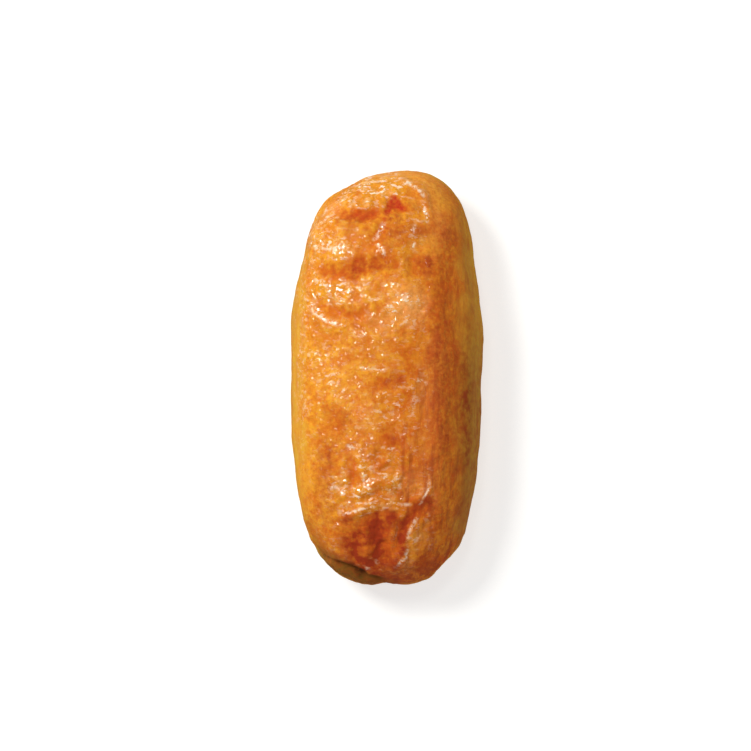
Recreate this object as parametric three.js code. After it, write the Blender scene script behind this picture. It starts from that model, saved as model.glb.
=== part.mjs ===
// Inari sushi: one pouch of simmered fried tofu, filled with rice and laid on its folded mouth.
// Millimetres, +Z up. The pouch lies along Y, with its closed end at +Y and its folded mouth at -Y.
// The origin is the middle of the flat underside.
import * as THREE from 'three';
import { mergeVertices } from 'three/addons/utils/BufferGeometryUtils.js';

// Driving sizes of the plain body, before its folds.
const LENGTH = 80;
const WIDTH = 36.8;
const HEIGHT = 27;
const BELLY = 11.5; // height of the widest level
const SETTLE = 2.2; // how far the soft underside would bulge below the plate if nothing held it up
const LEAN = 1.6; // how far the crown leans over towards -X

// Roundness of the body: exponents of a superellipse, 2 for an ellipse and more for a boxier form.
const ROUND_ACROSS_BELLY = 3.0;
const ROUND_ACROSS_CROWN = 2.3;
const ROUND_ALONG_BELLY = 2.5;
const ROUND_ALONG_CROWN = 3.3;
const ROUND_CROWN = 2.2;
const ROUND_BASE = 2.9;

// Facets of the block that is drawn in to the body.
const CELLS_ACROSS = 24;
const CELLS_ALONG = 55;
const CELLS_UP = 17;

// Soft lumps where the rice presses through the skin. They flatten out near the plate.
const LUMP_HEIGHT = 0.12;
const LUMP_PITCH = { shortest: 6.5, longest: 12 };
const LUMP_WAVES = 14;
const LUMP_FREE = 6; // height above the plate from which the lumps are at their full height
const GOLDEN_SHARE = (Math.sqrt(5) - 1) / 2;

const FOLD_END = 0.5; // share of its lift that a fold still has at its two ends

const HEART = new THREE.Vector3(0, 0, BELLY); // every ray from here leaves the body once
const OVERHEAD = 2 * HEIGHT; // a level above all of the body
const HALVINGS = 40; // steps of the search for the skin
const SLOPE_STEP = 0.05;

// How full the body is at a point: under 1 inside, 1 on the skin and over 1 outside.
function fullness(x, y, z) {
  const up = z - BELLY;
  const above = up > 0;
  const rise = above ? HEIGHT - BELLY : BELLY + SETTLE;
  const crowning = above ? Math.min(up / rise, 1) : 0;
  const roundAcross = THREE.MathUtils.lerp(ROUND_ACROSS_BELLY, ROUND_ACROSS_CROWN, crowning);
  const roundAlong = THREE.MathUtils.lerp(ROUND_ALONG_BELLY, ROUND_ALONG_CROWN, crowning);
  const leaning = x + (above ? LEAN * up / rise : 0);
  return Math.abs(leaning / (WIDTH / 2)) ** roundAcross
    + Math.abs(y / (LENGTH / 2)) ** roundAlong
    + Math.abs(up / rise) ** (above ? ROUND_CROWN : ROUND_BASE);
}

// The place where the line from a point inside to a point outside leaves the body.
function leaves(inside, outside) {
  let [near, far] = [0, 1];
  const at = new THREE.Vector3();
  for (let i = 0; i < HALVINGS; i++) {
    const middle = (near + far) / 2;
    at.lerpVectors(inside, outside, middle);
    if (fullness(at.x, at.y, at.z) < 1) near = middle;
    else far = middle;
  }
  return at;
}

// The skin of the plain body on the ray from its heart through a point, laid flat on the plate.
function skinBeyond(point) {
  const ray = point.clone().sub(HEART).normalize();
  const at = leaves(HEART, ray.multiplyScalar(LENGTH).add(HEART));
  at.z = Math.max(at.z, 0);
  return at;
}

// The skin straight above a place in plan.
function skinAbove(x, y) {
  return leaves(new THREE.Vector3(x, y, BELLY), new THREE.Vector3(x, y, OVERHEAD));
}

// A place on the skin: [x, y] is seen from above, and [x, y, z] from the heart.
function placeOnSkin([x, y, z]) {
  return z === undefined ? skinAbove(x, y) : skinBeyond(new THREE.Vector3(x, y, z));
}

// The direction that the plain skin faces.
function facing(p) {
  if (p.z <= 0) return new THREE.Vector3(0, 0, -1);
  const slope = (dx, dy, dz) => fullness(p.x + dx, p.y + dy, p.z + dz)
    - fullness(p.x - dx, p.y - dy, p.z - dz);
  return new THREE.Vector3(slope(SLOPE_STEP, 0, 0), slope(0, SLOPE_STEP, 0), slope(0, 0, SLOPE_STEP))
    .normalize();
}

// A smooth bump across its reach: 1 in the middle, and 0 from the reach on.
function bump(gap, reach) {
  return Math.max(0, 1 - (gap / reach) ** 2) ** 2;
}

// A fold follows a path over the skin. A positive lift is a ridge and a negative one a crease, and
// reach is the half width of its foot. It weakens towards its two ends.
function fold(lift, reach, ...places) {
  const path = places.map(placeOnSkin);
  const lengths = [0];
  for (let i = 1; i < path.length; i++) lengths.push(lengths[i - 1] + path[i].distanceTo(path[i - 1]));
  return (p) => {
    let [nearest, along] = [Infinity, 0];
    for (let i = 1; i < path.length; i++) {
      const closest = new THREE.Line3(path[i - 1], path[i]).closestPointToPoint(p, true, new THREE.Vector3());
      const gap = closest.distanceTo(p);
      if (gap < nearest) {
        nearest = gap;
        along = (lengths[i - 1] + closest.distanceTo(path[i - 1])) / lengths.at(-1);
      }
    }
    const strength = 1 - (1 - FOLD_END) * (2 * along - 1) ** 4;
    return lift * strength * bump(nearest, reach);
  };
}

// A round swell (positive lift) or hollow (negative lift).
function swell(lift, reach, place) {
  const centre = placeOnSkin(place);
  return (p) => lift * bump(p.distanceTo(centre), reach);
}

// Soft lumps of the rice: waves whose directions are spread evenly over a ball by the golden share of a turn.
function lumps() {
  const waves = Array.from({ length: LUMP_WAVES }, (_, number) => {
    const spot = number * GOLDEN_SHARE % 1;
    const climb = (2 * number + 1) / LUMP_WAVES - 1;
    const flat = Math.sqrt(1 - climb * climb);
    const turn = 2 * Math.PI * spot;
    const direction = new THREE.Vector3(flat * Math.cos(turn), flat * Math.sin(turn), climb);
    const pitch = THREE.MathUtils.lerp(LUMP_PITCH.shortest, LUMP_PITCH.longest, number * number * GOLDEN_SHARE % 1);
    return { direction: direction.divideScalar(pitch), start: number * spot };
  });
  const height = LUMP_HEIGHT / Math.sqrt(LUMP_WAVES);
  return (p) => {
    const turns = waves.map((wave) => wave.direction.dot(p) + wave.start);
    const sum = turns.reduce((total, turn) => total + Math.sin(2 * Math.PI * turn), 0);
    return height * sum * Math.min(1, p.z / LUMP_FREE);
  };
}

// Broad pushes, which add up.
const broad = [
  lumps(),
  // Outline: the closed end is cut away on its left corner and full on its right one, and the mouth
  // end has a nick with a small lobe beside it.
  swell(-1.9, 14, [-9.5, 38.5, BELLY]),
  swell(-1.1, 14, [-17, 25, BELLY]),
  swell(0.8, 7, [-13.2, 33.6, BELLY]),
  swell(1.15, 14, [13.5, 33.5, BELLY]),
  swell(-0.35, 12, [-18.5, 0, BELLY]),
  swell(-0.35, 9, [-17, -21, BELLY]),
  swell(0.4, 5, [-13.6, -33.0, BELLY]),
  swell(0.3, 12, [18.5, 9, BELLY]),
  swell(0.45, 10, [13.5, -33.5, BELLY]),
  swell(-0.8, 4.4, [11.4, -36.6, BELLY]),
  swell(0.4, 6, [7, -37.8, 12.5]),
  // Edges of the fried face, where the skin turns down into the smooth sides.
  fold(0.25, 3.4, [9.5, 31], [9.6, 15], [9.9, 0], [9.8, -14], [8.6, -26]),
  fold(-0.15, 3.8, [13, 22], [13, 5], [13, -12], [12, -24]),
  fold(0.3, 2.6, [-13.4, 30], [-14.6, 18], [-14.4, 4], [-14.2, -12]),
];

// Narrow pushes, which merge where they meet.
const narrow = [
  // Closed end: the tucked corner makes a pocket under a curved pleat.
  fold(-1.0, 1.9, [-0.2, 31.4], [1.2, 32.9], [3.4, 32.3]),
  swell(-0.5, 1.8, [1.3, 34.0]),
  fold(-0.8, 2.6, [-9.6, 31.9], [-7, 30.8], [-4, 30.6], [-1.4, 31.4]),
  fold(-0.45, 2.4, [-0.2, 30.6], [-1.6, 27.6], [-3.4, 24.8]),
  fold(0.45, 2.2, [2.6, 37.4], [5.6, 36.1], [7.1, 33.8], [7.5, 29.6]),
  fold(0.4, 2.4, [-11, 28.4], [-7.5, 28.6], [-3.8, 28.8]),
  fold(-0.6, 3.2, [-13.6, 20.2], [-8.5, 20.4], [-5.7, 21.2], [0.2, 21.8]),
  fold(-0.6, 1.8, [-5.4, 23.2], [-5.7, 18.6]),
  fold(-0.5, 2.6, [5.2, 24], [5.4, 19.4]),
  // Middle: shallow hollows and the pads between them.
  swell(0.5, 5, [3.2, 15.2]),
  fold(-0.5, 2.3, [-12.6, 14.2], [-9, 11.9], [-6.2, 11.4]),
  fold(0.45, 2.0, [-14, 12.6], [-11, 10.4], [-8, 9.8]),
  fold(-0.4, 2.2, [-2.2, -1.8], [0.8, -1.4], [3.8, -0.2]),
  swell(-0.4, 3.7, [1.5, -11.6]),
  fold(-0.3, 3.6, [-12, -7], [-9.4, -10.4]),
  swell(0.4, 4.0, [-4.2, -7.6]),
  // Mouth end: pleats gather towards the fold.
  fold(-0.6, 1.9, [-6.8, -14], [-6.4, -18.5], [-6.6, -23.2]),
  fold(0.45, 2.0, [-6.4, -22.8], [-3.6, -21.4], [1.6, -19.6]),
  fold(0.45, 2.2, [7.4, -20.2], [7.2, -22.2], [5.8, -24.6]),
  fold(0.5, 1.8, [-8, -26.4], [-5, -25.3], [-1.6, -24.7]),
  fold(-1.0, 2.8, [-2.2, -26.2], [-1.6, -30], [-1.2, -34.4]),
  fold(-0.5, 2.8, [-5.2, -28.8], [-5.8, -31.4], [-5.2, -34.2]),
  swell(0.5, 3.0, [-3.4, -33.6]),
  fold(-0.5, 3.0, [5.6, -25.6], [3.9, -28.6], [2.5, -32], [2.2, -34.6]),
  fold(0.6, 1.9, [6.2, -27.2], [4.6, -30], [3.6, -32.6], [1.8, -36.4]),
  // The mouth's flap is folded under: its lip crosses the end over a soft bulge and turns under, and its
  // edge crosses the underside, where two tucks run in to it from the corners.
  fold(-1.1, 1.9, [-13.6, -33.0], [-11.6, -35.0], [-8.6, -36.4], [-5.9, -37.5], [-3.4, -38.6], [-1.4, -39.1]),
  fold(0.3, 3.0, [-13.5, -34, 9], [-9, -37.5, 8.5], [-4, -39, 8.5]),
  fold(-0.7, 2.0, [-1, -39.4, 13], [2, -39.6, 9], [6, -39.2, 6], [11, -36, 4]),
  fold(-0.9, 2.0, [-14.5, -13, 0], [-7, -16.5, 0], [2, -17.2, 0], [9, -15.6, 0], [14.5, -12, 0]),
  fold(-0.9, 2.0, [-13, -34, 3], [-9.5, -28, 0], [-5.5, -21, 0]),
  fold(-0.9, 2.0, [13, -33, 3], [9.5, -27, 0], [6.5, -20.5, 0]),
];

// How far the skin is pushed out at a point. The narrow ridges, and likewise the creases, are piled as
// the cube root of their cubes' sum, so that two that cross are hardly higher or deeper than one.
function relief(p) {
  let [ridges, creases] = [0, 0];
  for (const push of narrow) {
    const lift = push(p);
    if (lift > 0) ridges += lift ** 3;
    else creases += lift ** 3;
  }
  const body = broad.reduce((sum, push) => sum + push(p), 0);
  return body + Math.cbrt(ridges) + Math.cbrt(creases);
}

// A block of even facets, drawn in to the body and pushed in and out by the relief.
function pouchGeometry() {
  const block = new THREE.BoxGeometry(WIDTH, LENGTH, HEIGHT, CELLS_ACROSS, CELLS_ALONG, CELLS_UP);
  block.translate(0, 0, BELLY);
  block.deleteAttribute('normal');
  block.deleteAttribute('uv');
  const pouch = mergeVertices(block);
  const places = pouch.getAttribute('position');
  const corner = new THREE.Vector3();
  for (let i = 0; i < places.count; i++) {
    const skin = skinBeyond(corner.fromBufferAttribute(places, i));
    skin.addScaledVector(facing(skin), relief(skin));
    places.setXYZ(i, skin.x, skin.y, Math.max(skin.z, 0));
  }
  pouch.computeBoundingBox();
  const { min, max } = pouch.boundingBox;
  pouch.translate(-(min.x + max.x) / 2, -(min.y + max.y) / 2, -min.z);
  pouch.computeVertexNormals();
  return pouch;
}

const tofuSkin = new THREE.MeshStandardMaterial({ color: 0xd98324, roughness: 0.4, metalness: 0 });
const tofuPouch = new THREE.Mesh(pouchGeometry(), tofuSkin);
tofuPouch.name = 'tofu_pouch';

const inariSushi = new THREE.Group();
inariSushi.add(tofuPouch);

export default inariSushi;
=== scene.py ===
"""Inari sushi: one pouch of simmered fried tofu, filled with rice and laid on its folded mouth.

The pouch is one closed skin. A block of even cells is drawn in to a plain rounded body, and the skin is then
pushed in and out by its folds, its swells and the fine crinkles of its fried face. Shapes are worked out in
millimetres, with +Y towards the closed end of the pouch, and the mesh is made in metres.
"""

import itertools

import bpy
import numpy as np
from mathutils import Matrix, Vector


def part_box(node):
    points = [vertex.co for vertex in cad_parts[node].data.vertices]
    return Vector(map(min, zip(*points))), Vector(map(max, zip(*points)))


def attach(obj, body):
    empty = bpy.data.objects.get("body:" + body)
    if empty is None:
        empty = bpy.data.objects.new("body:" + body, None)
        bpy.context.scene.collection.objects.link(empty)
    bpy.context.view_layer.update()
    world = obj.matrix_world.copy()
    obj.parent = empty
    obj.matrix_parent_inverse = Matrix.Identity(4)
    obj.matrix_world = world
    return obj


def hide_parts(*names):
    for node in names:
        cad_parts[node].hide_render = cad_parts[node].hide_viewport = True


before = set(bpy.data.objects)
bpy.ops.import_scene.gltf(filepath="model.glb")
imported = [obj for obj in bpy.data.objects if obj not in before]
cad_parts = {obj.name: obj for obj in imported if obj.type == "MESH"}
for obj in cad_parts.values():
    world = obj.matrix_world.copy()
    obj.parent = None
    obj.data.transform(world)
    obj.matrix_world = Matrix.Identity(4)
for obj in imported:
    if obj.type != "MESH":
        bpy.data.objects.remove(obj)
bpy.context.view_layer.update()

MM = 0.001  # a millimetre in metres

# Driving sizes of the plain body, before its folds.
LENGTH = 80.0
WIDTH = 36.8
HEIGHT = 27.0
BELLY = 11.5  # height of the widest level
SETTLE = 2.2  # how far the soft underside would bulge below the plate if nothing held it up
LEAN = 1.6  # how far the crown leans over towards -X

# Roundness of the body: exponents of a superellipse, 2 for an ellipse and more for a boxier form.
ROUND_ACROSS_BELLY = 3.0
ROUND_ACROSS_CROWN = 2.3
ROUND_ALONG_BELLY = 2.5
ROUND_ALONG_CROWN = 3.3
ROUND_CROWN = 2.2
ROUND_BASE = 2.9

CELLS = (114, 252, 56)  # cells of the block across, along and up

# Soft lumps where the rice presses through the skin. They flatten out near the plate.
LUMP_HEIGHT = 0.12
LUMP_PITCH = (6.5, 12.0)  # shortest and longest
LUMP_WAVES = 14
LUMP_FREE = 6.0  # height above the plate from which the lumps are at their full height
GOLDEN_SHARE = (np.sqrt(5) - 1) / 2  # the golden cut, whose multiples spread evenly over a turn

FOLD_END = 0.5  # share of its lift that a fold still has at its two ends

HEART = np.array([0.0, 0.0, BELLY])  # every ray from here leaves the body once
OVERHEAD = 2 * HEIGHT  # a level above all of the body
HALVINGS = 30  # steps of the search for the skin
SLOPE_STEP = 0.05  # step each way over which the slope of the fullness is taken


# ---------------------------------------------------------------- plain body

def fullness(p):
    """How full the body is at each point: the sum of three powers, of the way across, along and up, each as
    a share of the half size, with exponents that change evenly from the belly to the crown. It is under 1
    inside, 1 on the skin and over 1 outside."""
    up = p[..., 2] - BELLY
    above = up > 0
    rise = np.where(above, HEIGHT - BELLY, BELLY + SETTLE)
    crowning = np.where(above, np.minimum(up / rise, 1), 0)
    round_across = ROUND_ACROSS_BELLY + crowning * (ROUND_ACROSS_CROWN - ROUND_ACROSS_BELLY)
    round_along = ROUND_ALONG_BELLY + crowning * (ROUND_ALONG_CROWN - ROUND_ALONG_BELLY)
    leaning = p[..., 0] + np.where(above, LEAN * up / rise, 0)
    across_part = np.abs(leaning / (WIDTH / 2)) ** round_across
    along_part = np.abs(p[..., 1] / (LENGTH / 2)) ** round_along
    up_part = np.abs(up / rise) ** np.where(above, ROUND_CROWN, ROUND_BASE)
    return across_part + along_part + up_part


def leaves(inside, outside):
    """Where each line from a point inside to a point outside leaves the body, by halving."""
    near = np.zeros(outside.shape[:-1])
    far = np.ones(outside.shape[:-1])
    for _ in range(HALVINGS):
        middle = (near + far) / 2
        within = fullness(inside + middle[..., None] * (outside - inside)) < 1
        near = np.where(within, middle, near)
        far = np.where(within, far, middle)
    return inside + near[..., None] * (outside - inside)


def skin_beyond(p):
    """The plain skin on the rays from the heart through the points, laid flat on the plate."""
    ray = p - HEART
    ray = ray / np.linalg.norm(ray, axis=-1, keepdims=True)
    at = leaves(HEART, HEART + LENGTH * ray)
    at[..., 2] = np.maximum(at[..., 2], 0)
    return at


def place_on_skin(place):
    """A place on the plain skin: (x, y) is seen from above, and (x, y, z) from the heart."""
    if len(place) == 3:
        return skin_beyond(np.array(place, float))
    x, y = place
    return leaves(np.array([x, y, BELLY]), np.array([x, y, OVERHEAD]))


def facing(p):
    """The unit direction of the steepest rise of the fullness, straight down where the body lies flat."""
    steps = SLOPE_STEP * np.eye(3)
    slope = np.stack([fullness(p + step) - fullness(p - step) for step in steps], axis=-1)
    normal = slope / np.linalg.norm(slope, axis=-1, keepdims=True)
    return np.where(p[..., 2:] <= 0, np.array([0.0, 0.0, -1.0]), normal)


# ---------------------------------------------------------------- folds and swells

def share(values):
    """The values cut off at 0 and 1."""
    return np.clip(values, 0, 1)


def bump(gap, reach):
    """1 in the middle, falling as (1 - (gap / reach)^2)^2 to 0 at the reach."""
    return np.maximum(0, 1 - (gap / reach) ** 2) ** 2


def smooth_rise(value, start, end):
    """0 before the start, 1 after the end and 3t^2 - 2t^3 between them."""
    t = share((value - start) / (end - start))
    return t * t * (3 - 2 * t)


def fold(lift, reach, *places):
    """A fold along a path over the skin, a ridge if its lift is positive and a crease if it is negative: the
    lift times a bump of the distance to the path, and weaker by the fourth power of the way from its middle
    to its ends."""
    path = [place_on_skin(place) for place in places]
    steps = [np.linalg.norm(b - a) for a, b in itertools.pairwise(path)]
    starts = np.cumsum([0, *steps])

    def push(p):
        nearest = np.full(len(p), np.inf)
        along = np.zeros(len(p))
        for a, b, start in zip(path, path[1:], starts):
            way = b - a
            t = share((p - a) @ way / (way @ way))
            gap = np.linalg.norm(p - a - t[:, None] * way, axis=1)
            along = np.where(gap < nearest, (start + t * np.linalg.norm(way)) / starts[-1], along)
            nearest = np.minimum(gap, nearest)
        strength = 1 - (1 - FOLD_END) * (2 * along - 1) ** 4
        return lift * strength * bump(nearest, reach)

    return push


def swell(lift, reach, place):
    """A round swell, or a hollow if its lift is negative: the lift times a bump of the distance."""
    centre = place_on_skin(place)
    return lambda p: lift * bump(np.linalg.norm(p - centre, axis=1), reach)


def spread(pushes, p):
    """The pushes of a list, or the shares of its colours, painted shade and painted highlights among them,
    added up.
    """
    return sum(push(p) for push in pushes)


def pile(pushes, p):
    """Narrow pushes, which merge where they meet and don't add up: the cube root of the sum of cubes, for the
    ridges and for the creases."""
    lifts = np.stack([push(p) for push in pushes])
    ridges = np.maximum(lifts, 0) ** 3
    creases = np.minimum(lifts, 0) ** 3
    return np.cbrt(ridges.sum(axis=0)) + np.cbrt(creases.sum(axis=0))


def lumps(p):
    """Soft lumps of the rice: waves whose directions are spread evenly over a ball by the golden share of a
    turn, added up, and faded in from the plate up."""
    number = np.arange(LUMP_WAVES)
    spot = number * GOLDEN_SHARE % 1
    climb = (2 * number + 1) / LUMP_WAVES - 1
    flat = np.sqrt(1 - climb ** 2)
    turn = 2 * np.pi * spot
    direction = np.stack([flat * np.cos(turn), flat * np.sin(turn), climb], axis=1)
    shortest, longest = LUMP_PITCH
    pitch = shortest + (longest - shortest) * (number * number * GOLDEN_SHARE % 1)
    phase = 2 * np.pi * (p @ direction.T / pitch + number * spot)
    return LUMP_HEIGHT / np.sqrt(LUMP_WAVES) * np.sin(phase).sum(axis=1) * np.minimum(1, p[:, 2] / LUMP_FREE)


# Each fold and swell has its lift, its reach and its places in millimetres. Those of the outline and of the
# edges of the face add up, and the others merge.
OUTLINE = (
    swell(-1.9, 14, (-9.5, 38.5, BELLY)),
    swell(-1.1, 14, (-17, 25, BELLY)),
    swell(0.8, 7, (-13.2, 33.6, BELLY)),
    swell(1.15, 14, (13.5, 33.5, BELLY)),
    swell(-0.35, 12, (-18.5, 0, BELLY)),
    swell(-0.35, 9, (-17, -21, BELLY)),
    swell(0.4, 5, (-13.6, -33.0, BELLY)),
    swell(0.3, 12, (18.5, 9, BELLY)),
    swell(0.45, 10, (13.5, -33.5, BELLY)),
    swell(-0.8, 4.4, (11.4, -36.6, BELLY)),
    swell(0.4, 6, (7, -37.8, 12.5)),
)
FACE_EDGES = (
    fold(0.25, 3.4, (9.5, 31), (9.6, 15), (9.9, 0), (9.8, -14), (8.6, -26)),
    fold(-0.15, 3.8, (13, 22), (13, 5), (13, -12), (12, -24)),
    fold(0.3, 2.6, (-13.4, 30), (-14.6, 18), (-14.4, 4), (-14.2, -12)),
)
CLOSED_END = (
    fold(-1.0, 1.9, (-0.2, 31.4), (1.2, 32.9), (3.4, 32.3)),
    swell(-0.5, 1.8, (1.3, 34.0)),
    fold(-0.8, 2.6, (-9.6, 31.9), (-7, 30.8), (-4, 30.6), (-1.4, 31.4)),
    fold(-0.45, 2.4, (-0.2, 30.6), (-1.6, 27.6), (-3.4, 24.8)),
    fold(0.45, 2.2, (2.6, 37.4), (5.6, 36.1), (7.1, 33.8), (7.5, 29.6)),
    fold(0.4, 2.4, (-11, 28.4), (-7.5, 28.6), (-3.8, 28.8)),
    fold(-0.6, 3.2, (-13.6, 20.2), (-8.5, 20.4), (-5.7, 21.2), (0.2, 21.8)),
    fold(-0.6, 1.8, (-5.4, 23.2), (-5.7, 18.6)),
    fold(-0.5, 2.6, (5.2, 24), (5.4, 19.4)),
)
MIDDLE = (
    swell(0.5, 5, (3.2, 15.2)),
    fold(-0.5, 2.3, (-12.6, 14.2), (-9, 11.9), (-6.2, 11.4)),
    fold(0.45, 2.0, (-14, 12.6), (-11, 10.4), (-8, 9.8)),
    fold(-0.4, 2.2, (-2.2, -1.8), (0.8, -1.4), (3.8, -0.2)),
    swell(-0.4, 3.7, (1.5, -11.6)),
    fold(-0.3, 3.6, (-12, -7), (-9.4, -10.4)),
    swell(0.4, 4.0, (-4.2, -7.6)),
)
MOUTH_END = (
    fold(-0.6, 1.9, (-6.8, -14), (-6.4, -18.5), (-6.6, -23.2)),
    fold(0.45, 2.0, (-6.4, -22.8), (-3.6, -21.4), (1.6, -19.6)),
    fold(0.45, 2.2, (7.4, -20.2), (7.2, -22.2), (5.8, -24.6)),
    fold(0.5, 1.8, (-8, -26.4), (-5, -25.3), (-1.6, -24.7)),
    fold(-1.0, 2.8, (-2.2, -26.2), (-1.6, -30), (-1.2, -34.4)),
    fold(-0.5, 2.8, (-5.2, -28.8), (-5.8, -31.4), (-5.2, -34.2)),
    swell(0.5, 3.0, (-3.4, -33.6)),
    fold(-0.5, 3.0, (5.6, -25.6), (3.9, -28.6), (2.5, -32), (2.2, -34.6)),
    fold(0.6, 1.9, (6.2, -27.2), (4.6, -30), (3.6, -32.6), (1.8, -36.4)),
)
FLAP = (
    fold(
        -1.1, 1.9, (-13.6, -33.0), (-11.6, -35.0), (-8.6, -36.4), (-5.9, -37.5), (-3.4, -38.6), (-1.4, -39.1),
    ),
    fold(0.3, 3.0, (-13.5, -34, 9), (-9, -37.5, 8.5), (-4, -39, 8.5)),
    fold(-0.7, 2.0, (-1, -39.4, 13), (2, -39.6, 9), (6, -39.2, 6), (11, -36, 4)),
    fold(-0.9, 2.0, (-14.5, -13, 0), (-7, -16.5, 0), (2, -17.2, 0), (9, -15.6, 0), (14.5, -12, 0)),
    fold(-0.9, 2.0, (-13, -34, 3), (-9.5, -28, 0), (-5.5, -21, 0)),
    fold(-0.9, 2.0, (13, -33, 3), (9.5, -27, 0), (6.5, -20.5, 0)),
)
FOLDS = CLOSED_END + MIDDLE + MOUTH_END + FLAP


# Where the simmering sauce stained the skin brown, and where painted shade darkens it in the creases, towards
# the mouth end, on the lower left and on the right side: shares of full brown, placed as the folds are.
SAUCE_STAINS_AND_SHADE = (
    fold(0.55, 4.4, (-1.8, -25.8), (-2.4, -30), (-2.4, -35)),
    swell(-0.35, 1.7, (-3.9, -32.7)),
    swell(-0.3, 2.2, (-3.8, -25.6)),
    swell(0.8, 1.7, (-1.7, -34.0)),
    swell(0.8, 2.6, (1.2, -26.8)),
    fold(0.3, 1.8, (-9, 12.4), (-6.2, 11.4), (-5.5, 9)),
    swell(0.4, 2.6, (-7, -26.6)),
    fold(0.35, 3.6, (-12, -33.5), (-8.5, -36), (-6, -37)),
    fold(0.5, 9, (-12, -32, 3), (-6, -38, 3), (3, -39, 3), (11, -35, 3)),
    fold(0.9, 1.6, (-1.9, -26.6), (-1.7, -29), (-1.7, -31.6)),
    fold(0.7, 4.0, (-6.4, -29), (-6.2, -33)),
    fold(0.6, 1.4, (-6.0, -32.6), (-4.8, -35.2), (-2, -36.2)),
    fold(0.3, 3.0, (6.4, -24.2), (4.2, -28.2), (2.8, -32), (2, -35)),
    fold(0.8, 1.6, (4.8, -26.0), (3.3, -28.4), (2.7, -33.6)),
    fold(0.6, 7, (-7, -36), (-2, -38), (3, -39.4, 10)),
    swell(0.6, 2.4, (7.8, -23.8)),
    swell(0.5, 4.4, (7, -36)),
    swell(0.3, 2.8, (8.4, 4.2)),
    swell(0.2, 3, (8.6, -16)),
    fold(0.4, 5.0, (10, 22), (10.4, 8), (10.6, -4), (11, -16)),
    fold(0.4, 2.4, (-1.5, -2), (3.2, -0.4)),
    swell(0.4, 3, (1.4, -11.8)),
    fold(0.25, 3.5, (-13, -6), (-9.5, -7), (-8, -12)),
    swell(0.4, 3.4, (7.0, 21)),
    fold(0.35, 2.6, (-9.5, 31), (-6, 30.8), (-2, 31)),
    fold(0.35, 3.2, (-13, 20), (-6, 20.5), (0, 22)),
    fold(0.3, 1.6, (-5.5, 23.5), (-5.7, 18.4)),
    swell(0.45, 4.5, (0.5, 27.5)),
    swell(0.35, 3.0, (5.2, 32.5)),
    swell(0.5, 2.5, (1.4, 30.6)),
    fold(0.25, 4, (5, 27), (8.5, 28), (12, 26)),
    fold(0.25, 3.5, (-3.5, 22.5), (2, 22)),
    swell(0.25, 4, (-7, 28.5)),
    swell(0.18, 4, (5, 28)),
    swell(0.18, 4, (8.5, 22)),
    swell(0.25, 4, (-11, -14)),
    swell(0.25, 3.5, (-7, -8)),
    fold(0.25, 3.5, (14.5, 6), (14.8, -16)),
    fold(0.15, 4, (15.5, 24), (16, 6)),
    swell(0.3, 3, (1.5, -35.5)),
    swell(0.45, 3, (11.5, -35)),
    swell(0.15, 4, (11.5, -13)),
    fold(0.3, 4.5, (12, 34), (12, 24)),
    swell(0.3, 4, (-3, -14)),
    fold(0.35, 5.0, (-12, -12.5), (-11.5, -22), (-11, -30)),
)
# Where the skin inside a tuck stayed bright red.
REDDENED = (
    fold(1.4, 0.95, (1.3, 34.4), (0.6, 32.6), (-0.1, 31.3)),
    fold(1.4, 0.95, (1.5, 34.2), (2.4, 33.0), (3.4, 32.2)),
    swell(1.2, 1.2, (1.3, 33.0)),
    fold(0.55, 1.6, (-6.5, 31.0), (-3.6, 31.2), (-1.9, 31.8)),
    fold(0.4, 0.9, (-0.3, 30.8), (-0.8, 29.0)),
    fold(0.3, 1.1, (-5.6, 22.6), (-5.7, 19.4)),
)
# Crests of ridges that the sauce keeps wet, which also get painted glints in white.
WET_CRESTS_AND_PAINTED_GLINTS = (
    fold(1.2, 0.45, (5.9, -27.0), (4.4, -29.2), (3.9, -30.6)),
    fold(1.2, 0.5, (4.0, -32.4), (3.6, -34.2), (1.6, -36.2)),
    fold(1.0, 0.4, (-8, -26.2), (-5, -25.0), (-2.4, -24.6)),
    fold(1.4, 0.6, (3.3, 37.2), (5.2, 36.2), (7.0, 34.3)),
    fold(1.4, 0.5, (7.0, 32.9), (7.3, 31.3), (7.7, 29.7)),
    fold(1.2, 0.5, (5.3, 28.8), (5.1, 27.6)),
    fold(1.2, 0.5, (5.3, 25.8), (5.1, 24.6)),
    fold(1.2, 0.5, (-1.8, 25.6), (-0.4, 23.2)),
    fold(1.2, 0.5, (-14, 12.8), (-11, 10.6), (-8, 9.8)),
    swell(1.2, 0.7, (-1.8, -35.4)),
    swell(1.2, 0.7, (-3.6, -36.6)),
    fold(1.0, 0.7, (-13.5, 24.6), (-9.5, 24.2)),
    fold(1.0, 0.42, (8.0, -19.6), (7.7, -21.6), (6.4, -23.9)),
    fold(1.0, 0.5, (-10.9, -21.3), (-9.8, -20.8), (-8.6, -21.6)),
    fold(1.0, 0.45, (2.8, -24.1), (4.6, -24.3)),
    fold(0.9, 0.4, (-5.0, 2.0), (-2.5, 1.6), (-0.2, 1.4)),
    fold(0.9, 0.4, (-9.3, -3.9), (-7.7, -2.2)),
    fold(1.2, 0.5, (-7.4, -13.1), (-6.1, -13.6)),
    fold(0.9, 0.4, (-0.9, -13.2), (1.6, -13.9)),
    fold(0.9, 0.4, (5.9, -0.6), (7.8, -1.0)),
    fold(1.0, 0.6, (-2.4, 26.4), (-1.2, 28), (-0.4, 29.4)),
)
# Where it stayed yellow.
YELLOWED = (
    fold(0.7, 5.0, (-4, 38), (2, 38.6), (7, 37), (12, 32)),
    fold(0.7, 3.5, (-15, 29), (-12.5, 33.5)),
    swell(0.4, 4, (-13.5, -20)),
    swell(0.4, 3, (-11, -8)),
    fold(0.3, 3.5, (-14.6, 12), (-14.6, -4)),
    # Yellower on the lit ridge right of the mouth: yellower skin with painted light.
    swell(0.45, 4.5, (5.2, -32)),
    fold(0.3, 3.5, (11.4, 13), (11.4, 0), (11.2, -16), (10.8, -32)),
)
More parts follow.
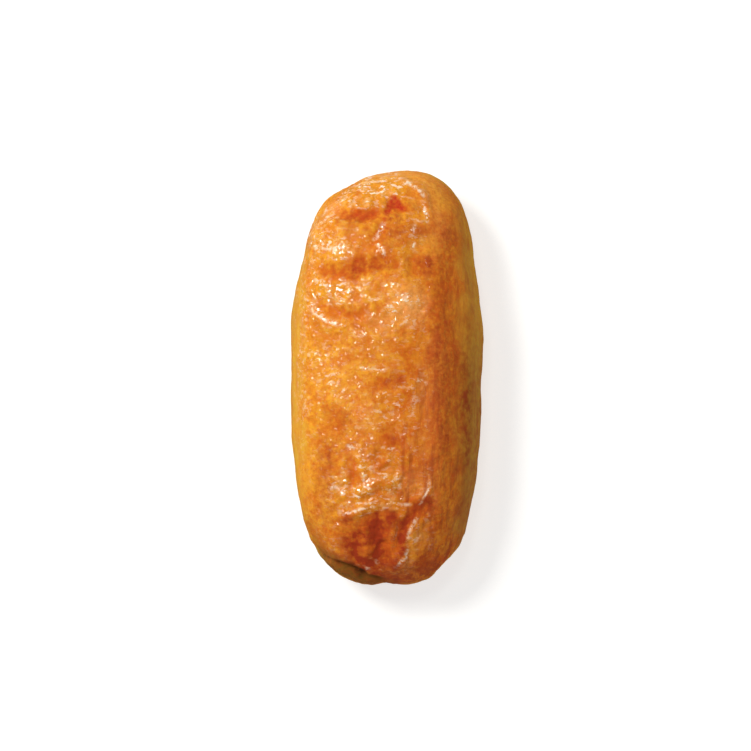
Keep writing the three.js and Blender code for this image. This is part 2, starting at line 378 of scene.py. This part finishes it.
# Where it stayed golden.
GOLDEN = (
    swell(0.75, 6.0, (3.8, 13.8)),
    swell(0.3, 4, (5.4, 14)),
    swell(0.4, 3.5, (-0.5, 10)),
    swell(0.25, 4, (4.5, -20)),
    fold(0.4, 6.5, (-4, 38.5, 14), (2, 39.5, 14), (8, 38, 14)),
    swell(0.6, 3.5, (-14.4, 28)),
    swell(0.5, 4, (-10.5, 33)),
    fold(0.2, 4.6, (8, 36), (9.4, 31), (8.8, 24)),
    swell(0.1, 5, (-10, 1)),
    swell(0.25, 4, (-4, -8)),
    fold(0.15, 4, (8.8, 8), (8.2, -14), (9, -24)),
    # Golden on the lit ridge right of the mouth: golden skin with painted light.
    swell(0.15, 4.5, (6, -31)),
)
# Where the flap of the mouth lies in its own shade.
SHADED = (
    fold(1.5, 1.7, (-7.2, -36.1), (-5.9, -37.1), (-4.6, -38.2)),
    fold(0.7, 1.5, (-3.6, -39.4, 9), (1.0, -40, 9)),
    fold(0.3, 2.2, (-10.2, -35.9), (-7.4, -37.5)),
)
# Olive brown round the tucked mouth: partly the skin's own dull colour, partly painted shade of the flap over
# it.
OLIVE_AND_SHADE = (
    fold(0.3, 4, (-15.4, -27), (-13, -31.5)),
    fold(0.7, 2.8, (-13.4, -32.2), (-11.2, -34.1), (-8.4, -35.6)),
    swell(0.12, 4.5, (9.8, 34.6)),
    fold(0.5, 7.0, (-15.5, -29, 6), (-12.5, -35, 5), (-8, -38.5, 5), (-2, -39.5, 4), (5, -39.5, 4)),
    fold(1.2, 3.8, (-14, -33.2), (-11.2, -35.9), (-8, -37.6), (-4, -39), (0, -39.7)),
)


# ---------------------------------------------------------------- fine relief of the skin

NOISE_TABLE = 256
QUINTIC = (6, 15, 10)
WAVE_GAIN = 1.6  # brings the noise to about -1 to 1
POINT_STRAY = 0.45  # how far the middle of a blister strays from the middle of its cell, in cells


def lattice(seed):
    """A seeded order of the numbers below the table size, and a unit direction for each of them."""
    random = np.random.default_rng(seed)
    directions = random.normal(size=(NOISE_TABLE, 3))
    directions /= np.linalg.norm(directions, axis=1, keepdims=True)
    return random.permutation(NOISE_TABLE), directions


def corner_numbers(order, cell):
    """A number for each cell corner, mixed from its three whole coordinates through the seeded order."""
    x, y, z = np.moveaxis(cell, -1, 0)
    return order[(order[(order[x % NOISE_TABLE] + y) % NOISE_TABLE] + z) % NOISE_TABLE]


def waves(p, pitch, seed):
    """Gradient noise of one pitch, from about -1 to 1: at each corner of a cell the way from the corner is
    laid on a seeded direction, and the eight are blended by 6t^5 - 15t^4 + 10t^3."""
    order, directions = lattice(seed)
    place = p / pitch
    cell = np.floor(place).astype(int)
    t = place - cell
    a, b, c = QUINTIC
    blend = t ** 3 * (t * (a * t - b) + c)
    height = 0
    for corner in itertools.product((0, 1), repeat=3):
        corner = np.array(corner)
        direction = directions[corner_numbers(order, cell + corner)]
        weight = np.where(corner, blend, 1 - blend).prod(axis=-1)
        height = height + weight * ((t - corner) * direction).sum(axis=-1)
    return WAVE_GAIN * height


def wander(p, pitch, seed):
    """A shift of each point that changes slowly over the skin: three noises, one for each direction."""
    return np.stack([waves(p, pitch, seed + axis) for axis in range(3)], axis=1)


def astray(p):
    """The places shifted by a broad and a narrow noise, so that the edges of folds and stains wander."""
    return p + 0.6 * wander(p, 5.0, seed=41) + 0.35 * wander(p, 2.0, seed=51)


def puffs(p, pitch, seed):
    """Rounded blisters packed side by side: 1 - d^2, where d is the distance to the nearest seeded point,
    with one point in each cell of the pitch."""
    order, directions = lattice(seed)
    place = p / pitch
    cell = np.floor(place).astype(int)
    nearest = np.full(len(p), np.inf)
    for step in itertools.product((-1, 0, 1), repeat=3):
        there = cell + np.array(step)
        point = there + 0.5 + POINT_STRAY * directions[corner_numbers(order, there)]
        nearest = np.minimum(nearest, ((place - point) ** 2).sum(axis=1))
    return 1 - nearest


def near(p, reach_x, reach_y, x, y):
    """A bump in plan round a place, with its own reach across and along."""
    return bump(np.hypot((p[:, 0] - x) / reach_x, (p[:, 1] - y) / reach_y), 1)


def around(spots, p):
    """The shares of some spots, added up: each share times the bump in plan round its place."""
    return sum(part * near(p, *spot) for part, *spot in spots)


# Edges of the fried face: two places across for each side, and the two heights between which it fades in.
LEFT_EDGE = (-17.4, -14.4)
RIGHT_EDGE = (11.5, 17.0)
FACE_RISE = (BELLY - 1, BELLY + 4)


def fried_face(p):
    """1 on the fried face that looks up, 0 on the smooth sides: a rise over the left edge times a fall over
    the right one, both shifted by two noises, times a rise above the widest level."""
    stray = waves(p, 5.0, seed=31) + 0.5 * waves(p, 1.8, seed=32)
    left = smooth_rise(p[:, 0] + 1.2 * stray, *LEFT_EDGE)
    right = 1 - smooth_rise(p[:, 0] + 1.6 * stray, *RIGHT_EDGE)
    above = smooth_rise(p[:, 2], *FACE_RISE)
    return left * right * above


def mouth_end(p):
    """How far the crumples reach over the end with the mouth, up to 0.6: a rise towards -Y times a rise
    above the plate."""
    return 0.6 * smooth_rise(-p[:, 1], 31, 36) * smooth_rise(p[:, 2], 3, 7)


COMMON_CRUMPLE = 0.4  # how crumpled the fried face is away from its gathered spots
COMMON_SHINE = 0.25  # how much of the sauce's shine it has away from its sauced spots

# Spots on the face that looks up: a share, the reach across and along, and the place.
GATHERED = (
    (0.6, 11, 17, -7, 17),
    (0.5, 10, 7, -4, 33),
    (0.6, 12, 12, -3, -19),
    (0.4, 8, 9, 4, 11),
    (0.5, 12, 8, -4, -33),
    (0.3, 14, 6, 0, 37),
    (0.3, 3, 30, -15, 2),
)
SAUCED = (
    (0.6, 9, 13, -10, 19),
    (0.8, 10, 5, -4, 35),
    (0.8, 3, 7, -14.5, 28),
    (0.45, 7, 5.5, 2.5, 13.6),
    (-0.1, 5, 7, -7, 2),
    (-0.35, 4, 6, -2.5, -19),
    (-0.25, 4, 5, -7, 16),
    (0.6, 10, 9, -4, -20),
    (0.4, 11, 5, -2, 37),
    (0.3, 3, 6, 5.5, 28),
    (0.2, 4, 7, 3.5, -31),
    (0.4, 4, 3, -3, -36),
)
# Spots where glints and sheen are painted in white on skin that isn't wet.
PAINTED_SHEEN_SPOTS = (
    (0.6, 3.2, 34, -16.2, 6),
    (1.4, 9, 5, -3, 37.5),
    (1.1, 6, 8, -12.5, 28),
    (0.75, 4, 5, -12, 16),
    (0.8, 5.5, 5, 3.8, 13.6),
    (0.55, 5, 8, -11, 2),
    (0.45, 9, 10, -1, -6),
    (0.25, 7, 14, 5, -3),
)


def crumple(p):
    """How crumpled the fried face is, up to 1: a common share, and the spots where the skin gathered."""
    return np.minimum(COMMON_CRUMPLE + around(GATHERED, p), 1)


def patches(p):
    """Ragged patches, from 0 to 1: a steady share and two noises, cut off at 0 and 1."""
    return share(0.9 + 1.2 * waves(p, 2.6, seed=81) + 0.5 * waves(p, 1.2, seed=82))


def wet(p, up):
    """How much of the sauce's shine each place has, from 0 to 1: a common share and 1.6 times those of the
    spots, which are below 0 where the skin is dull, times the ragged patches. It fades out where the skin
    turns down, and to a fifth towards the right side."""
    upward = smooth_rise(up, 0.25, 0.7) * (1 - 0.8 * smooth_rise(p[:, 0], 7, 11))
    return share((COMMON_SHINE + 1.6 * around(SAUCED, p)) * patches(p)) * upward


def painted_sheen_spots(p):
    """Where glints and sheen are painted in white on skin that isn't wet, from 0 to 1.5: 1.2 times the shares
    of the spots, times the ragged patches, above the widest level."""
    return np.minimum(1.2 * around(PAINTED_SHEEN_SPOTS, p), 1.5) * patches(p) * (p[:, 2] > BELLY)


# Heights of the fine relief in millimetres.
BLISTER_HEIGHT = 0.24
RIDGE_HEIGHT = 0.42
PORE_HEIGHT = 0.08
FIBRE_HEIGHT = 0.06
RIPPLE_HEIGHT = 0.05  # of the narrow soft noise of the sides
SWAY_HEIGHT = 0.06  # of the broad one
WRINKLE_HEIGHT = 0.10

FIBRE_STRETCH = np.array([1.0, 0.14, 0.8])  # how close the streaks lie across, along and up
WRINKLE_PITCH = 1.0
WRINKLE_SLANT = 0.12  # how far the wrinkles run along for each millimetre across


def crinkles(p):
    """Fine relief of the fried face in millimetres: packed blisters, sharp ridges, which are noises folded at
    0, and pores, all on places that are shifted by a slow noise so that no pattern runs straight."""
    bent = p + 0.9 * wander(p, 4.0, seed=1)
    blisters = puffs(bent, 1.5, seed=4) - 0.75
    ridges = 0.5 - np.abs(waves(bent, 2.7, seed=5)) - 0.6 * np.abs(waves(bent, 1.3, seed=6))
    return BLISTER_HEIGHT * blisters + RIDGE_HEIGHT * ridges + PORE_HEIGHT * waves(bent, 0.8, seed=7)


def fibres(p):
    """Fine streaks, about seven times longer along the pouch than across: a broad and a narrow noise on
    places that are shifted by a slow one and drawn out."""
    drawn = (p + 0.5 * wander(p, 4.0, seed=71)) * FIBRE_STRETCH
    return 0.7 * waves(drawn, 0.8, seed=11) + 0.5 * waves(drawn, 0.45, seed=12)


def side_relief(p):
    """Fine relief of the smooth sides in millimetres: the streaks and two soft noises."""
    streaked = FIBRE_HEIGHT * fibres(p)
    return streaked + RIPPLE_HEIGHT * waves(p, 1.3, seed=13) + SWAY_HEIGHT * waves(p, 2.9, seed=14)


def cross_wrinkles(p):
    """A few fine wrinkles that cross the middle of the face: a bump in plan times a sine along the pouch."""
    along = p[:, 1] - WRINKLE_SLANT * p[:, 0]
    return WRINKLE_HEIGHT * near(p, 5, 2.2, -3, 1.8) * np.sin(2 * np.pi * along / WRINKLE_PITCH)


# ---------------------------------------------------------------- what the material reads at each point

# The red of the folds is partly the skin's red and partly painted shade in the creases.
RED_DEPTH = 1.6  # depth of the folds at which the skin in them is fully red
DRY_DEPTH = 0.7  # depth of the folds over which the skin in them dries, up to DRIED_IN_FOLDS
DRIED_IN_FOLDS = 0.9


def right_flank(p):
    """How far the right flank, the side turned away from the key lamp, is darkened, up to half: browner,
    olive skin with painted shade on it. It is a share that grows towards the mouth, times a rise across the
    right edge and a rise above the plate."""
    towards_mouth = 0.15 + 0.35 * smooth_rise(-p[:, 1], -14, 4)
    return towards_mouth * smooth_rise(p[:, 0], 12, 16) * smooth_rise(p[:, 2], 3, 11)


def stain_and_shade_shares(skin, strayed):
    """The colours of the cooking and the painted shade as shares from 0 to 1: each list added up, with 0.85
    and 0.78 of the darkened right flank on top for sauce brown and dull olive, and the deeper side as a rise
    towards +X and
    -Y, partly painted shade away from the key lamp."""
    flank = right_flank(strayed)
    return {
        "sauce_and_shade": share(spread(SAUCE_STAINS_AND_SHADE, strayed) + 0.85 * flank),
        "dull": share(spread(OLIVE_AND_SHADE, strayed) + 0.78 * flank),
        "shaded": share(spread(SHADED, strayed)),
        "reddened": share(spread(REDDENED, skin)),
        "yellowed": share(spread(YELLOWED, strayed)),
        "golden": share(spread(GOLDEN, strayed)),
        # Deeper towards +X and -Y, away from the key lamp: partly a darker cooking, partly painted shade.
        "cooked_and_shaded": smooth_rise(strayed[:, 0] - 0.3 * strayed[:, 1], -10, 13),
    }


def sauce(skin, up, folded, stain_and_shade):
    """How the sauce lies, and where highlights are painted. Dried adds up the depth of the folds, 0.9 of
    the sauce_and_shade share and the reddened share. The painted glint share adds up the wet crests, on
    places shifted by a noise. Wet is the shine times what isn't dried, or the painted glint share where
    that is more. The painted sheen share is the wet share, or that of the painted sheen spots where that
    is more."""
    in_folds = np.clip(-folded / DRY_DEPTH, 0, DRIED_IN_FOLDS)
    dried = share(in_folds + 0.9 * stain_and_shade["sauce_and_shade"] + stain_and_shade["reddened"])
    painted_glint = share(spread(WET_CRESTS_AND_PAINTED_GLINTS, skin + 0.3 * wander(skin, 2.0, seed=61)))
    moist = np.maximum(wet(skin, up) * (1 - dried), painted_glint)
    # The painted sheen and painted glint shares lay highlights on as white colour.
    return {"dried": dried, "wet": moist, "painted_sheen_share": np.maximum(moist, painted_sheen_spots(skin)), "painted_glint": painted_glint}


# ---------------------------------------------------------------- the pouch

FREE_RISE = 3.0  # height above the plate from which the fine relief is at its full depth
RIDGE_SHOWN = (-0.1, 0.25)  # heights of the crinkles between which the skin turns from hollow to ridge


def welded_block(cells):
    """The surface of a block as six grids of square cells: corner places from -0.5 to 0.5, each held once,
    and quads whose corners run anticlockwise seen from outside."""
    cells = np.array(cells)
    places, quads, first = [], [], 0
    for axis, side in itertools.product(range(3), (0, 1)):
        u, v = (axis + 1) % 3, (axis + 2) % 3
        along_u, along_v = np.meshgrid(np.arange(cells[u] + 1), np.arange(cells[v] + 1), indexing="ij")
        grid = np.zeros(along_u.shape + (3,), int)
        grid[..., u], grid[..., v], grid[..., axis] = along_u, along_v, side * cells[axis]
        number = first + np.arange(along_u.size).reshape(along_u.shape)
        corners = [number[:-1, :-1], number[1:, :-1], number[1:, 1:], number[:-1, 1:]]
        quad = np.stack(corners if side else corners[::-1], axis=-1)
        places.append(grid.reshape(-1, 3))
        quads.append(quad.reshape(-1, 4))
        first += along_u.size
    places = np.concatenate(places)
    key = np.ravel_multi_index(places.T, cells + 1)
    _, kept, welded = np.unique(key, return_index=True, return_inverse=True)
    return places[kept] / cells - 0.5, welded.reshape(-1)[np.concatenate(quads)]


def mesh_object(name, places, quads):
    """A mesh object at the origin, made in metres from places in millimetres, and shaded smooth."""
    mesh = bpy.data.meshes.new(name)
    mesh.from_pydata(places * MM, [], quads.tolist())
    mesh.shade_smooth()
    piece = bpy.data.objects.new(name, mesh)
    bpy.context.scene.collection.objects.link(piece)
    return piece


def paint(piece, name, values):
    """Holds one number for each point of the mesh, which its material reads by this name."""
    attribute = piece.data.attributes.new(name, "FLOAT", "POINT")
    attribute.data.foreach_set("value", np.asarray(values, np.float32))


def make_pouch():
    """The pouch: a block drawn in to the plain skin, pushed along the way it faces by lumps, folds and fine
    relief, kept above the plate, and centred on its place in the frame."""
    places, quads = welded_block(CELLS)
    skin = skin_beyond(places * np.array([WIDTH, LENGTH, HEIGHT]) + HEART)
    outward = facing(skin)
    strayed = astray(skin)
    folded = spread(FACE_EDGES, strayed) + pile(FOLDS, strayed)
    formed = lumps(skin) + spread(OUTLINE, skin) + folded
    face = fried_face(skin)
    crumpled = np.maximum(face, mouth_end(skin)) * crumple(skin)
    crinkled = crinkles(skin)
    fine = crumpled * crinkled + (1 - face) * side_relief(skin) + cross_wrinkles(skin)
    free = smooth_rise(skin[:, 2], 0, FREE_RISE)
    places = skin + outward * (formed + free * fine)[:, None]
    places[:, 2] = np.maximum(places[:, 2], 0)
    low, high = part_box("tofu_pouch")
    middle = (np.array(low) + np.array(high)) / (2 * MM)
    places[:, :2] += middle[:2] - (places.min(axis=0) + places.max(axis=0))[:2] / 2
    pouch = mesh_object("pouch_skin", places, quads)
    stain_and_shade = stain_and_shade_shares(skin, strayed)
    shares = {
        "fried": face,
        # Redder and darker by the depth of the folds: red skin with painted shade in the creases.
        "hollow": share(-folded / RED_DEPTH),
        "crumple": crumpled,
        "ridge": face * smooth_rise(crinkled, *RIDGE_SHOWN),
        **stain_and_shade,
        **sauce(skin, outward[:, 2], folded, stain_and_shade),
    }
    for name, values in shares.items():
        paint(pouch, name, values)
    return pouch


# ---------------------------------------------------------------- materials

MIX_INPUTS = (0, 6, 7)  # the share and the two colours among the inputs of a Mix node
MIX_OUTPUT = 2  # the colour among its outputs


def linear(red, green, blue):
    """A display colour from 0 to 255 as linear light, with alpha 1: a straight foot, and above it a power."""
    display = np.array([red, green, blue]) / 255
    light = np.where(display <= 0.04045, display / 12.92, ((display + 0.055) / 1.055) ** 2.4)
    return (*light, 1.0)


class Shader:
    """A material's node tree, with short calls that add a node and join its inputs."""

    def __init__(self, name):
        self.material = bpy.data.materials.new(name)
        self.material.use_nodes = True
        self.tree = self.material.node_tree
        self.surface = self.tree.nodes["Principled BSDF"]

    def put(self, socket, value):
        """Joins an output to a socket, or sets the socket's own number or colour."""
        if isinstance(value, bpy.types.NodeSocket):
            self.tree.links.new(value, socket)
        else:
            socket.default_value = value

    def finish(self, values):
        """Puts a value on each of the surface's sockets that are named."""
        for name, value in values.items():
            self.put(self.surface.inputs[name], value)

    def node(self, kind, settings=(), **inputs):
        """A new node with its settings, and with its inputs by name, where _ stands for a space."""
        made = self.tree.nodes.new(kind)
        for name, value in dict(settings).items():
            setattr(made, name, value)
        for name, value in inputs.items():
            self.put(made.inputs[name.replace("_", " ")], value)
        return made

    def attribute(self, name):
        """The number that each point of the mesh holds by this name."""
        return self.node("ShaderNodeAttribute", {"attribute_name": name}).outputs["Fac"]

    def mix(self, part, first, second):
        """A blend of two colours, the first where the part is 0 and the second where it is 1."""
        made = self.node("ShaderNodeMix", {"data_type": "RGBA"})
        for number, value in zip(MIX_INPUTS, (part, first, second)):
            self.put(made.inputs[number], value)
        return made.outputs[MIX_OUTPUT]

    def reckon(self, operation, *values, kind="ShaderNodeMath"):
        """The result of one operation on numbers, or on vectors in a node of that kind."""
        made = self.node(kind, {"operation": operation})
        for socket, value in zip(made.inputs, values):
            self.put(socket, value)
        return made.outputs[0]

    def times(self, first, second):
        """The product of two numbers."""
        return self.reckon("MULTIPLY", first, second)

    def larger(self, first, second):
        """The larger of two numbers."""
        return self.reckon("MAXIMUM", first, second)

    def ranged(self, value, start, end, low=0.0, high=1.0):
        """Low before the start, high past the end, and an even change between the two."""
        ends = {"From_Min": start, "From_Max": end, "To_Min": low, "To_Max": high}
        return self.node("ShaderNodeMapRange", Value=value, **ends).outputs["Result"]

    def place(self, stretch=(1, 1, 1)):
        """Each point's own place in metres, times a stretch across, along and up."""
        there = self.node("ShaderNodeTexCoord").outputs["Object"]
        return self.node("ShaderNodeMapping", Vector=there, Scale=stretch).outputs["Vector"]

    def noise(self, scale, detail, roughness=0.6, place=None, output="Fac"):
        """A noise of so many waves to the metre: one number, or three as a colour."""
        place = place or self.place()
        made = self.node("ShaderNodeTexNoise", Vector=place, Scale=scale, Detail=detail, Roughness=roughness)
        return made.outputs[output]

    def bent(self, scale, reach):
        """Each point's own place, shifted by a noise of three numbers less a half, times the reach."""
        shift = self.noise(scale, detail=1, output="Color")
        centred = self.reckon("SUBTRACT", shift, (0.5, 0.5, 0.5), kind="ShaderNodeVectorMath")
        reach_each_way = (reach, reach, reach)
        return self.reckon("MULTIPLY_ADD", centred, reach_each_way, self.place(), kind="ShaderNodeVectorMath")

    def relief(self, height, strength, depth):
        """The way the surface faces with a height from 0 to 1 laid on it, times a strength and a depth."""
        made = self.node("ShaderNodeBump", Height=height, Strength=strength, Distance=depth)
        return made.outputs["Normal"]


SIDE_YELLOW = linear(221, 166, 51)
SIDE_TAN = linear(213, 143, 44)
GOLD = linear(252, 172, 96)
FACE_YELLOW = linear(232, 158, 42)
FACE_ORANGE = linear(216, 124, 30)
FACE_RED = linear(200, 90, 24)
# Red of the folds, darker than the face: red skin with painted shade in the creases.
HOLLOW_RED = linear(200, 78, 30)
TUCK_RED = linear(180, 50, 30)
# Painted sheen and painted glints, laid on as colour.
PAINTED_SHEEN_COLOUR = linear(248, 208, 160)
PAINTED_GLINT_WHITE = linear(252, 228, 206)
# Sauce brown and olive brown, both partly painted shade in the creases, at the mouth and on the right flank,
# and the brown of the painted shade under the flap.
SAUCE_AND_SHADE_BROWN = linear(160, 56, 26)
OLIVE_AND_SHADE_BROWN = linear(112, 77, 28)
SHADED_BROWN = linear(84, 42, 14)

# Noises of the skin, in waves to the metre.
GRAIN = 1500
BLOTCHES = 300
STREAKS = 900
HAZE = 520
STROKES = 640
GAPS = 620
FLECKS = 1100
RAGS = 700
DROPS = 1400
RIPPLES = 1150
BENDS = 350

STREAK_STRETCH = (1, 0.16, 0.8)
FLECK_STRETCH = (0.65, 1.2, 1)
BEND_REACH = 1.4 * MM
PORE_DEPTH = 0.15 * MM
FILM_DEPTH = 0.46 * MM  # of the ripples in the drops of sauce

SKIN_FINISH = {
    "Subsurface Weight": 0.2,
    "Subsurface Radius": (1.0, 0.35, 0.12),
    "Subsurface Scale": 1.2 * MM,
    "Specular IOR Level": 0.07,
    "Coat Roughness": 0.07,
    "Coat IOR": 2.15,
}


def side_colour(shader, grain, blotches, streaks):
    """The smooth sides: yellow with tan streaks along the pouch, and a third orange in blotches and grain."""
    colour = shader.mix(shader.ranged(streaks, 0.38, 0.68), SIDE_YELLOW, SIDE_TAN)
    colour = shader.mix(shader.ranged(blotches, 0.45, 0.75, 0.0, 0.35), colour, FACE_ORANGE)
    return shader.mix(shader.ranged(grain, 0.5, 0.66, 0.0, 0.35), colour, FACE_ORANGE)


def face_colour(shader, grain, blotches, streaks):
    """The fried face: blotches of yellow and orange, or of orange and red on its deeper side towards +X and
    -Y, which is turned away from the key lamp and is partly darker from the cooking and partly painted shade.
    It is redder between the crinkles and in the grain, streaked with brown on that deeper side, and yellower
    where the skin stayed yellow and under the sauce."""
    cooked_and_shaded = shader.attribute("cooked_and_shaded")
    pale_face = shader.mix(shader.ranged(blotches, 0.44, 0.58), FACE_YELLOW, FACE_ORANGE)
    deep_face = shader.mix(shader.ranged(blotches, 0.36, 0.56), FACE_ORANGE, FACE_RED)
    colour = shader.mix(cooked_and_shaded, pale_face, deep_face)
    between = shader.times(shader.ranged(shader.attribute("ridge"), 0.6, 0.0), shader.attribute("crumple"))
    colour = shader.mix(shader.times(between, 0.7), colour, FACE_RED)
    colour = shader.mix(shader.ranged(grain, 0.5, 0.64, 0.0, 0.55), colour, FACE_RED)
    colour = shader.mix(shader.ranged(grain, 0.46, 0.36, 0.0, 0.3), colour, FACE_YELLOW)
    strips = shader.times(shader.ranged(streaks, 0.48, 0.6), shader.ranged(cooked_and_shaded, 0.6, 1.0))
    colour = shader.mix(shader.times(strips, 0.7), colour, SAUCE_AND_SHADE_BROWN)
    yellowed = shader.times(shader.attribute("yellowed"), shader.ranged(grain, 0.6, 0.45, 0.4, 1.0))
    colour = shader.mix(yellowed, colour, FACE_YELLOW)
    return shader.mix(shader.times(shader.attribute("wet"), 0.5), colour, FACE_YELLOW)


def with_painted_highlights(shader, colour, grain, bent):
    """The colour with painted highlights, stronger on the crinkles than between them: a painted sheen of soft
    haze, of broken strokes along the middle line of a noise and of small flecks, and painted glints on the
    wet crests."""
    raised = shader.ranged(shader.attribute("ridge"), 0.0, 0.6, 0.35, 1.0)
    painted_sheen_share = shader.times(raised, shader.ranged(shader.attribute("painted_sheen_share"), 0.08, 1.5, 0.0, 1.5))
    haze = shader.ranged(shader.noise(HAZE, detail=3), 0.52, 0.62, 0.0, 0.35)
    meander = shader.noise(STROKES, detail=2, place=bent)
    from_line = shader.reckon("ABSOLUTE", shader.reckon("SUBTRACT", meander, 0.5))
    broken = shader.ranged(shader.noise(GAPS, detail=2), 0.47, 0.54)
    strokes = shader.times(shader.ranged(from_line, 0.045, 0.01, 0.0, 0.6), broken)
    colour = shader.mix(shader.times(shader.larger(haze, strokes), painted_sheen_share), colour, PAINTED_SHEEN_COLOUR)
    flecks = shader.ranged(shader.noise(FLECKS, detail=2, place=shader.place(FLECK_STRETCH)), 0.565, 0.61)
    crests = shader.times(shader.attribute("painted_glint"), shader.ranged(grain, 0.55, 0.47))
    painted_glint = shader.larger(crests, shader.times(flecks, painted_sheen_share))
    return shader.mix(shader.times(painted_glint, 0.9), colour, PAINTED_GLINT_WHITE)


def with_stains_and_shade(shader, colour, grain):
    """The colour with each stain of the cooking and the painted shade laid over it, each by its share, with
    ragged
    edges: red hollows with painted shade in the creases, sauce brown and olive skin that also paint shade,
    red tucks, and the painted shade of the flap."""
    rags = shader.noise(RAGS, detail=5)
    ragged = shader.ranged(rags, 0.38, 0.62, 0.5, 1.2)
    mottled = shader.ranged(rags, 0.62, 0.4, 0.75, 1.0)
    # Red of the folds: red skin with painted shade in the creases.
    hollow = shader.times(shader.attribute("hollow"), ragged)
    colour = shader.mix(hollow, colour, HOLLOW_RED)
    # Sauce brown, which also paints shade in the creases, at the mouth end and on the right flank.
    sauce_and_shade = shader.ranged(shader.times(shader.attribute("sauce_and_shade"), ragged), 0.1, 0.75)
    colour = shader.mix(sauce_and_shade, colour, SAUCE_AND_SHADE_BROWN)
    reddened = shader.times(shader.attribute("reddened"), shader.ranged(grain, 0.35, 0.6, 0.6, 0.95))
    colour = shader.mix(reddened, colour, TUCK_RED)
    # Olive brown: partly the skin's own dull colour, partly painted shade under the flap and on the right
    # flank.
    dull = shader.times(shader.attribute("dull"), shader.ranged(grain, 0.35, 0.65, 1.0, 0.75))
    colour = shader.mix(shader.times(dull, mottled), colour, OLIVE_AND_SHADE_BROWN)
    return shader.mix(shader.times(shader.attribute("shaded"), ragged), colour, SHADED_BROWN)


def tofu_skin():
    """Simmered tofu skin: yellow smooth sides and an orange fried face, golden in some places, redder in its
    hollows and browner where the sauce dried, with painted shade in the creases, at the mouth end and on the
    right flank, and with painted highlights on the crinkles. Small drops of sauce make its moist parts
    glitter."""
    shader = Shader("tofu_skin")
    grain = shader.noise(GRAIN, detail=5)
    blotches = shader.noise(BLOTCHES, detail=5)
    streaks = shader.noise(STREAKS, detail=3, place=shader.place(STREAK_STRETCH))
    bent = shader.bent(BENDS, BEND_REACH)
    fried = shader.attribute("fried")
    side = side_colour(shader, grain, blotches, streaks)
    face = face_colour(shader, grain, blotches, streaks)
    colour = shader.mix(fried, side, face)
    golden = shader.times(shader.attribute("golden"), shader.ranged(grain, 0.35, 0.6, 1.0, 0.5))
    colour = shader.mix(golden, colour, GOLD)
    # Painted highlights: sheen and glints laid on as colour.
    colour = with_painted_highlights(shader, colour, grain, bent)
    # Stains of the cooking, with painted shade.
    colour = with_stains_and_shade(shader, colour, grain)
    drops = shader.ranged(shader.noise(DROPS, detail=1), 0.46, 0.53)
    ripples = shader.noise(RIPPLES, detail=0.5, roughness=0.5, place=bent)
    shader.finish({
        "Base Color": colour,
        "Roughness": shader.ranged(shader.attribute("dried"), 0.1, 0.7, 0.42, 0.9),
        "Normal": shader.relief(grain, shader.ranged(fried, 0, 1, 0.3, 1.0), PORE_DEPTH),
        "Coat Weight": shader.times(shader.times(shader.attribute("wet"), drops), 0.8),
        "Coat Normal": shader.relief(ripples, 1.0, FILM_DEPTH),
    })
    shader.finish(SKIN_FINISH)
    return shader.material


# ---------------------------------------------------------------- stage, light and camera

PICTURE = 751  # pixels across and down the picture
PIXELS_PER_MM = 5.175  # at the widest level of the pouch
CAMERA_AT = (-2.29, 0.42)  # the place under the middle of the picture
CAMERA_RISE = 900.0  # above the widest level
SENSOR = 36.0  # width of the camera's sensor
CAMERA_RANGE = (0.01, 10.0)  # nearest and farthest that it sees, in metres

WHITE = (1, 1, 1, 1)
WORLD_STRENGTH = 0.3
LAMP_COLOUR = (0.975, 0.96, 0.9)
# Each lamp's place and width in millimetres, and its power in watts.
LAMPS = {
    "key": ((-450, 350, 820), 250, 8.15),
    "top": ((-90, 230, 970), 130, 1.2),
}

FLOOR_HALF = 1500.0
FLOOR_FINISH = {
    "Base Color": (0.45, 0.45, 0.45, 1),
    "Roughness": 0.9,
    "Specular IOR Level": 0.0,
    "Emission Color": WHITE,
    "Emission Strength": 0.66,
}


def make_camera():
    """A long lens that looks straight down: its length is to its rise as the sensor is to the width seen."""
    data = bpy.data.cameras.new("camera")
    seen = PICTURE / PIXELS_PER_MM
    data.sensor_width = SENSOR
    data.lens = SENSOR * CAMERA_RISE / seen
    data.clip_start, data.clip_end = CAMERA_RANGE
    camera = bpy.data.objects.new("camera", data)
    x, y = CAMERA_AT
    camera.location = np.array([x, y, BELLY + CAMERA_RISE]) * MM
    bpy.context.scene.collection.objects.link(camera)
    bpy.context.scene.camera = camera


def make_world():
    """An even white surround that lights the shadows and leaves no gloss of its own."""
    world = bpy.data.worlds.new("studio")
    world.use_nodes = True
    background = world.node_tree.nodes["Background"]
    background.inputs["Color"].default_value = WHITE
    background.inputs["Strength"].default_value = WORLD_STRENGTH
    world.cycles_visibility.glossy = False
    bpy.context.scene.world = world


def make_lamp(name, place, width, power):
    """A square soft lamp that looks at the origin, under the middle of the pouch."""
    data = bpy.data.lights.new(name, "AREA")
    data.size = width * MM
    data.energy = power
    data.color = LAMP_COLOUR
    lamp = bpy.data.objects.new(name, data)
    lamp.location = np.array(place) * MM
    lamp.rotation_mode = "QUATERNION"
    lamp.rotation_quaternion = lamp.location.to_track_quat("Z", "Y")
    bpy.context.scene.collection.objects.link(lamp)


def make_floor():
    """A plain pale floor, which glows a little, as a light table does."""
    half = FLOOR_HALF
    corners = np.array([(-half, -half, 0), (half, -half, 0), (half, half, 0), (-half, half, 0)])
    floor = mesh_object("floor", corners, np.array([(0, 1, 2, 3)]))
    shader = Shader("floor_white")
    shader.finish(FLOOR_FINISH)
    floor.data.materials.append(shader.material)
    floor.visible_glossy = False


make_camera()
make_world()
for name, (place, width, power) in LAMPS.items():
    make_lamp(name, place, width, power)
make_floor()
bpy.context.scene.view_settings.view_transform = "Standard"

pouch = make_pouch()
pouch.data.materials.append(tofu_skin())
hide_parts("tofu_pouch")
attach(pouch, "root")
